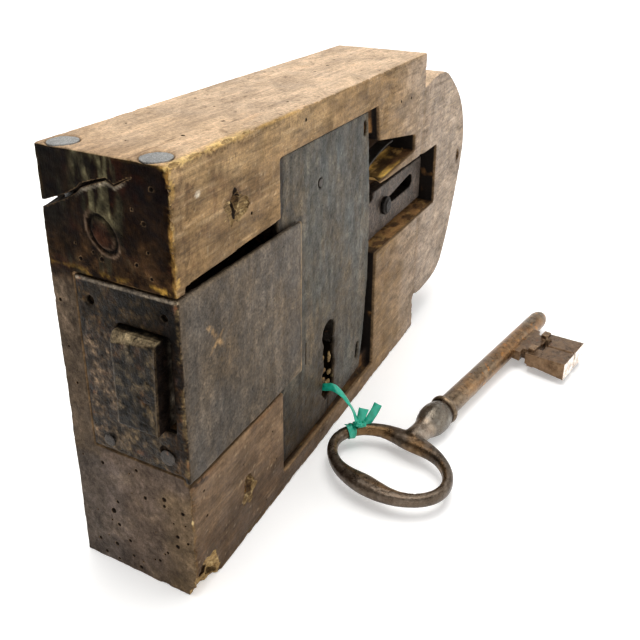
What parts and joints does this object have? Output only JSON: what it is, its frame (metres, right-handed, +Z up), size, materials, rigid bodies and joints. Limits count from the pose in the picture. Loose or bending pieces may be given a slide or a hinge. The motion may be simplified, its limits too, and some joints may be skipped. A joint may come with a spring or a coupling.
{
  "type": "wooden stock lock with key",
  "caption": "Old wooden stock lock with an iron forend and cover plate, a sliding deadbolt, inner wards and a solid key tied on by a ribbon.",
  "frame": {"origin": "bottom centre of the bounding box of the lock and its key, on the surface that the lock's long edge stands on", "axes": "+Z up across the lock's width, +X along the lock from the forend and bolt end to the rounded tongue, -Y out of the face with the cover plate and keyhole, where the key lies"},
  "size_m": [0.2776, 0.1372, 0.15],
  "materials": {
    "wood": "worn, oiled and darkened wood with a dry raised grain",
    "iron_forend": "dark hand-forged sheet with a brown patina",
    "iron_plate": "grey-brown rubbed sheet iron",
    "iron_dark": "dark pitted iron with rust",
    "iron_inner": "brown forged iron",
    "key_iron": "handled iron with rust in the hollows and bright spots",
    "ribbon_green": "thin glossy plastic ribbon"
  },
  "bodies": {
    "stock": {"wood_stock": "wood", "forend_plate": "iron_forend", "cover_plate": "iron_plate", "guide_stud": "iron_dark", "tumbler_spring": "iron_inner", "spring_pin": "iron_inner", "bolt_staple": "iron_inner", "ward_bridge": "iron_inner", "ward_ring_front": "iron_inner", "ward_ring_back": "iron_inner", "forend_nail_lower_back": "iron_dark", "forend_nail_lower_front": "iron_dark", "top_nail_front": "iron_plate", "top_nail_back": "iron_plate", "ribbon_strand": "ribbon_green"},
    "bolt": {"deadbolt": "iron_dark"},
    "tie": {"ribbon_knot": "ribbon_green", "ribbon_tail_a": "ribbon_green", "ribbon_tail_b": "ribbon_green"},
    "loose_key": {"key": "key_iron"}
  },
  "joints": [
    {"name": "bolt_throw", "type": "slide", "parent": "stock", "child": "bolt", "axis": [-1, 0, 0], "range_m": [0, 0.035], "deforming": ["tumbler_spring"]},
    {"name": "key_pull", "type": "slide", "parent": "stock", "child": "tie", "axis": [0, -1, 0], "range_m": [0, 0.012], "deforming": ["ribbon_strand"]},
    {"name": "key_swing", "type": "hinge", "parent": "tie", "child": "loose_key", "pos_m": [-0.04065, 0.0075, 0.0072], "axis": [0, 0, 1], "range_deg": [-12, 20]}
  ]
}
